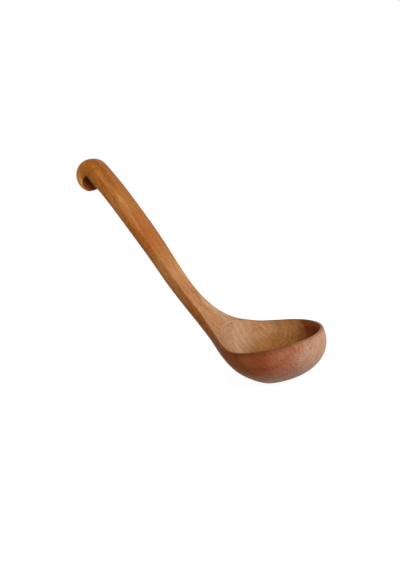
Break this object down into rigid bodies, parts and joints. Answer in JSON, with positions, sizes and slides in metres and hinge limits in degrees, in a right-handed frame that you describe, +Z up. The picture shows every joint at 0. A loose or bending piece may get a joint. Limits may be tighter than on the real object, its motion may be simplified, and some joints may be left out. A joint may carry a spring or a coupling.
{
  "type": "soup ladle",
  "caption": "Hook-handled wooden soup ladle: a deep round bowl, a widening neck and a flat-faced handle that curls over into a short hook, carved from one billet.",
  "frame": {"origin": "middle of the overall length and width, at the height of the bowl's lowest point", "axes": "+X from the handle towards the bowl's front tip, +Y across the bowl, +Z up, square to the bowl's rim"},
  "size_m": [0.2133, 0.105, 0.2401],
  "materials": {
    "bowl_wood": "oiled satin, reddish brown outside and paler inside",
    "handle_wood": "oiled satin, golden brown with straight grain"
  },
  "bodies": {
    "root": {"bowl": "bowl_wood", "neck": "bowl_wood", "handle": "handle_wood", "hook": "handle_wood"}
  },
  "joints": []
}
